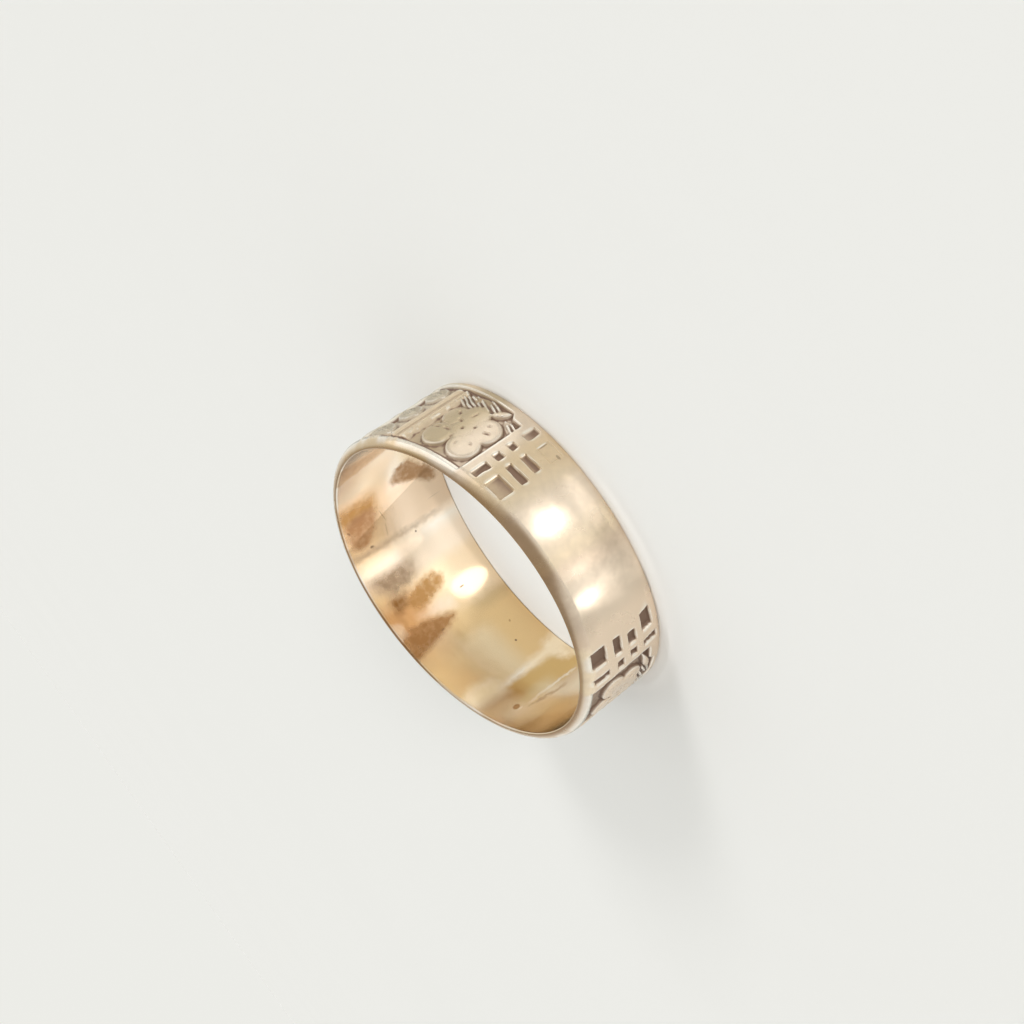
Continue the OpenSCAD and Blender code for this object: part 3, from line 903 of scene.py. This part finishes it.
def gold():
    """Worn rose-tinted gold, darkened by patina where it is sunk and with painted shade in its crevices and
    cells, lightened on raised edges with a painted highlight, and with stains, painted reflections and
    painted highlights on its walls.
    """
    material = bpy.data.materials.new("band_gold")
    finish = Nodes(material)
    coords = finish.add("TexCoord", out=3)
    place = finish.stretched(coords, 1 / MM, 1 / MM, 1 / MM)
    x, y, z = finish.parts(place)
    recess = finish.add("Attribute", {"attribute_name": "recess"}, out=2)
    crevice = finish.add("Attribute", {"attribute_name": "crevice"}, out=2)
    worn = finish.step(*WEAR_GLINT_FROM, finish.add("Attribute", {"attribute_name": "worn"}, out=2))
    radius_here = finish.add("Math", {"operation": "SQRT"}, {0: x * x + y * y})
    from_front = finish.add("Math", {"operation": "ARCTAN2"}, {0: x, 1: y * -1}) * (180 / math.pi)
    from_back = finish.add("Math", {"operation": "ARCTAN2"}, {0: x * -1, 1: y}) * (180 / math.pi)
    cloud = finish.noise(place, *CLOUD)
    sideways, upways = finish.parts(finish.noise(place, *STRAY, out=1), 2)
    mottle = finish.noise(place, *MOTTLE)
    smudge = finish.noise(place, *SMUDGE)
    wander = mottle - 0.5
    layers = []
    for wall, radius, middle in (("outside", OUTER_R, 0), ("inside", INNER_R, 180)):
        angle = from_front if wall == "outside" else from_back + 180
        arc = angle * math.radians(radius)
        ragged_arc, ragged_z = arc + (sideways - 0.5) * STRAY_ALONG, z + (upways - 0.5) * STRAY_UP
        spot = finish.add("CombineXYZ", {}, {0: ragged_arc, 1: ragged_z, 2: 1.0})
        if wall == "outside":
            colour = finish.tones(OUTSIDE, angle + (cloud - 0.5) * OUTSIDE_WANDER, middle)
        else:
            low, mid, high = (finish.tones(row, angle + wander * INSIDE_WANDER, middle)
                              for row in (INSIDE_LOW, INSIDE_MIDDLE, INSIDE_HIGH))
            colour = finish.mix(finish.step(*MIDDLE_FROM, z), low, mid)
            colour = finish.mix(finish.step(*HIGH_FROM, z), colour, high)
        # Stains, painted reflections and painted highlights of each wall
        layers.append(stains_and_reflections(finish, wall, radius, colour, spot, arc, z, wander))
    (outside_colour, _), (inside_colour, stained_share) = layers
    past = radius_here - INNER_R
    on_outside = finish.step(*OUTSIDE_FROM, past)
    colour = finish.mix(on_outside, inside_colour, outside_colour)
    # The line along the far wall's rim, with painted glints in white
    from_middle = finish.add("Math", {"operation": "ABSOLUTE"}, {0: from_back - LINE_MIDDLE})
    on_line = finish.step(*LINE_IN, past) * finish.step(*LINE_OUT, past)
    on_line = on_line * finish.step(*LINE_ABOVE, z) * finish.step(*LINE_FADE, from_middle)
    line = finish.tones(RIM_LINE_AND_GLINTS, from_back + 180 + wander * LINE_WANDER, 180)
    colour = finish.mix(on_line * LINE_SHARE, colour, line)

    matte = stained_share * (1 - on_outside)
    sunk = finish.step(*SUNK_FROM, recess)
    left = finish.step(*LEFT_FROM, from_front) * finish.step(*LEFT_TO, from_front)
    dark = sunk * (SUNK_DARK + mottle * MOTTLED_DARK + left * LEFT_DARK)
    # Crevices and cells: patina with painted shade
    dark = dark + finish.step(*CREVICE_FROM, crevice) * CREVICE_DARK
    dark = finish.add("Clamp", {}, {"Value": dark})
    colour = finish.mix(dark, colour, TARNISH_AND_SHADE)
    # Painted highlight on raised edges, standing also for their wear
    colour = finish.mix(worn * (WEAR_GLINT_SHARE + mottle * WEAR_GLINT_MOTTLE), colour, WHITE)

    roughness = POLISH + on_outside * OUTSIDE_DULL + smudge * SMUDGE_DULL + sunk * SUNK_DULL
    roughness = roughness + matte * STAIN_DULL - worn * WORN_BRIGHT
    dents = finish.noise(finish.stretched(coords, *DENTS), 1.0, 1)
    bump = finish.add("Bump", {}, {"Strength": DENT_STRENGTH, "Distance": DENT_DEPTH, "Height": dents})
    metallic = 1 - dark * TARNISH_DULL
    shader = finish.add("BsdfPrincipled", {}, {"Base Color": colour, "Metallic": metallic,
                                               "Roughness": roughness, "Normal": bump})
    finish.add("OutputMaterial", {}, {"Surface": shader})
    return material


# The floor: its two tones, and the radius in metres and sides of its disc
FLOOR_LIGHT = (0.86, 0.855, 0.835, 1)
FLOOR_SHADE = (0.84, 0.835, 0.815, 1)
FLOOR_R = 4
FLOOR_SIDES = 96


def paper():
    """Smooth pale paper for the floor."""
    material = bpy.data.materials.new("pale_floor")
    finish = Nodes(material)
    coords = finish.add("TexCoord", out=3)
    cloud = finish.noise(coords, 9, 3)
    colour = finish.mix(cloud, FLOOR_SHADE, FLOOR_LIGHT)
    shader = finish.add("BsdfPrincipled", {}, {"Base Color": colour, "Roughness": 1.0,
                                               "Specular IOR Level": 0.0})
    finish.add("OutputMaterial", {}, {"Surface": shader})
    return material


def make_floor():
    """A wide pale disc whose edge is lost in a background of its own colour."""
    bm = bmesh.new()
    bmesh.ops.create_circle(bm, cap_ends=True, cap_tris=True, segments=FLOOR_SIDES, radius=FLOOR_R)
    mesh = bpy.data.meshes.new("floor")
    bm.to_mesh(mesh)
    bm.free()
    mesh.materials.append(paper())
    floor = bpy.data.objects.new("floor", mesh)
    bpy.context.scene.collection.objects.link(floor)


# The room: height of a direction, from 0 level to 1 straight up, and its colour
ROOM = ((0.0, (0.85, 0.85, 0.83, 1)), (0.5, (0.74, 0.72, 0.68, 1)), (1.0, (0.62, 0.58, 0.52, 1)))
# A strip of the room is dim, from in front up over the ring and down behind it: the direction across the
# strip, how far to the left its middle is, the half widths at which the dark ends and is full, the heights
# at which it begins and is full, and its colour
SHADE_ACROSS = (0.97, 0.237, 0)
SHADE_LEFT = 0.085
SHADE_HALF = (0.54, 0.27)
SHADE_HEIGHTS = (0.0, 0.62)
SHADE_COLOUR = (0.34, 0.27, 0.195, 1)
# What the camera sees past the floor's edge, in the colour that the floor has in the picture
BACKDROP = (0.842, 0.842, 0.802, 1)


def make_world():
    """A bright room with a dim strip overhead; the camera sees the floor's colour in place of it."""
    world = bpy.data.worlds.new("studio")
    nodes = Nodes(world)
    direction = nodes.add("TexCoord", out=0)
    height = nodes.parts(direction)[2]
    across = nodes.dot(direction, SHADE_ACROSS) + SHADE_LEFT
    across = nodes.add("Math", {"operation": "ABSOLUTE"}, {0: across})
    shade = nodes.step(*SHADE_HALF, across) * nodes.step(*SHADE_HEIGHTS, height)
    room = nodes.add("ValToRGB", {}, {"Fac": height}, ramp=ROOM)
    around = nodes.add("Background", {}, {0: nodes.mix(shade, room, SHADE_COLOUR)})
    behind = nodes.add("Background", {}, {0: BACKDROP})
    shader = nodes.add("MixShader", {}, {0: nodes.add("LightPath"), 1: around, 2: behind})
    nodes.add("OutputWorld", {}, {"Surface": shader})
    bpy.context.scene.world = world


def shine(name, kind, place, aim, settings):
    """A light at a place in millimetres, turned towards another; the camera doesn't see it."""
    data = bpy.data.lights.new(name, kind)
    for key, value in settings.items():
        setattr(data, key, value)
    light = bpy.data.objects.new(name, data)
    bpy.context.scene.collection.objects.link(light)
    light.visible_camera = False
    start = Vector(place) * MM
    turn = (Vector(aim) * MM - start).to_track_quat("-Z", "Y").to_matrix().to_4x4()
    light.matrix_world = Matrix.Translation(start) @ turn
    return light


# Lamps over the finger hole: their height, and for each the middle and radius of its beam, its power
# and how soft the beam's edge is
BORE_LAMP_UP = 80
BORE_LAMPS = (("bore_lamp", 0, 9.2, 0.088, 0.0), ("near_bore_lamp", -4.2, 5.6, 0.2, 0.6))
# Cards that only the gold mirrors, each where the camera sees it in one spot of a wall: the wall, the
# spot's angle and height, how far its surface leans up in degrees, the card's way from it, width, height
# and brightness
card_columns = ("name", "wall", "angle", "z", "lean", "away", "wide", "high", "bright")
CARDS = rows_of(card_columns, [
    ("front_card", "outside", 14.2, 3.1, 0, 3.4, 2.0, 1.6, 1.5),
    ("front_corner", "outside", 18.6, 3.5, 0, 3.4, 1.5, 0.9, 0.3),
    ("front_glow", "outside", 15.5, 1.8, 0, 5.5, 5.0, 5.0, 0.3),
    ("foot_card", "outside", 13.6, 1.0, 0, 1.6, 4.2, 0.8, 0.33),
    ("left_card", "outside", -9.9, 3.5, 0, 3.2, 1.3, 1.4, 1.3),
    ("left_glow", "outside", -11.4, 2.2, 0, 4.5, 2.6, 3.8, 0.38),
    ("middle_card", "outside", -1.0, 3.0, 0, 3.4, 0.9, 2.2, 0.42),
    ("broad_card", "outside", 3.0, 2.4, 0, 4.2, 7.4, 3.8, 0.27),
    ("side_card", "outside", 46.0, 2.9, 0, 3.0, 4.4, 4.8, 0.2),
    ("low_inner_card", "inside", 193.5, 1.8, 0, 1.6, 1.0, 2.6, 0.8),
    ("cream_inner_card", "inside", 179.0, 1.9, 0, 2.6, 3.6, 3.4, 0.18),
    ("high_inner_card", "inside", 168.0, 5.6, 0, 2.4, 0.55, 5.5, 0.36),
    ("right_inner_card", "inside", 123.0, 5.8, 0, 4.2, 2.6, 8.4, 0.2),
    ("rim_card", "outside", 47.0, 5.0, 32, 3.4, 10.0, 3.0, 0.3),
])


def mirrored(wall, angle, z, lean):
    """A spot of a wall, and the direction in which the camera looks on from it."""
    turn = math.radians(angle)
    outward = Vector((math.sin(turn), -math.cos(turn), 0))
    spot = outward * (OUTER_R if wall == "outside" else INNER_R)
    spot.z = z
    normal = outward if wall == "outside" else -outward
    normal = normal * math.cos(math.radians(lean)) + Vector((0, 0, math.sin(math.radians(lean))))
    view = (Vector(CAMERA_AT) - spot).normalized()
    return spot, 2 * normal.dot(view) * normal - view


# Lamps round the table: direction towards each and its height in degrees, power, and width in degrees;
# and how far away they stand, which doesn't change their light
lamp_columns = ("name", "azimuth", "up", "energy", "wide")
LAMPS = rows_of(lamp_columns, [
    ("low_lamp", 287, 10, 1.9, 12),
    ("side_lamp", 334, 15, 1.5, 14),
    ("window", 292, 38, 0.4, 40),
])
LAMP_AWAY = 90
# A wide light overhead that the gold doesn't mirror
CEILING = {"energy": 0.70, "angle": math.radians(60), "color": (0.63, 0.85, 1.0)}


def make_lights():
    """Lamps round the table and over the finger hole that the gold doesn't mirror, and the cards."""
    for lamp in LAMPS:
        turn, up = math.radians(lamp["azimuth"]), math.radians(lamp["up"])
        towards = Vector((math.cos(turn) * math.cos(up), math.sin(turn) * math.cos(up), math.sin(up)))
        light = shine(lamp["name"], "SUN", towards * LAMP_AWAY, (0, 0, 0),
                      {"energy": lamp["energy"], "angle": math.radians(lamp["wide"])})
        light.visible_glossy = False
    ceiling = shine("ceiling", "SUN", (0, 0, LAMP_AWAY), (0, 0, 0), CEILING)
    ceiling.visible_glossy = False
    for name, middle, radius, energy, blend in BORE_LAMPS:
        lamp = shine(name, "SPOT", (0, middle, BORE_LAMP_UP), (0, middle, 0),
                     {"energy": energy, "spot_size": 2 * math.atan(radius / (BORE_LAMP_UP - FRONT_W)),
                      "spot_blend": blend, "shadow_soft_size": MM})
        lamp.visible_glossy = False
    for card in CARDS:
        power = card["bright"] * math.pi * card["wide"] * card["high"] * MM * MM
        spot, onward = mirrored(card["wall"], card["angle"], card["z"], card["lean"])
        light = shine(card["name"], "AREA", spot + onward * card["away"], spot,
                      {"shape": "ELLIPSE", "size": card["wide"] * MM, "size_y": card["high"] * MM,
                       "energy": power})
        light.visible_diffuse = False


make_camera()
make_floor()
make_world()
make_lights()

band = make_band()
band.data.materials.append(gold())
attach(band, "root")
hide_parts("band")

bpy.context.scene.view_settings.view_transform = "Standard"
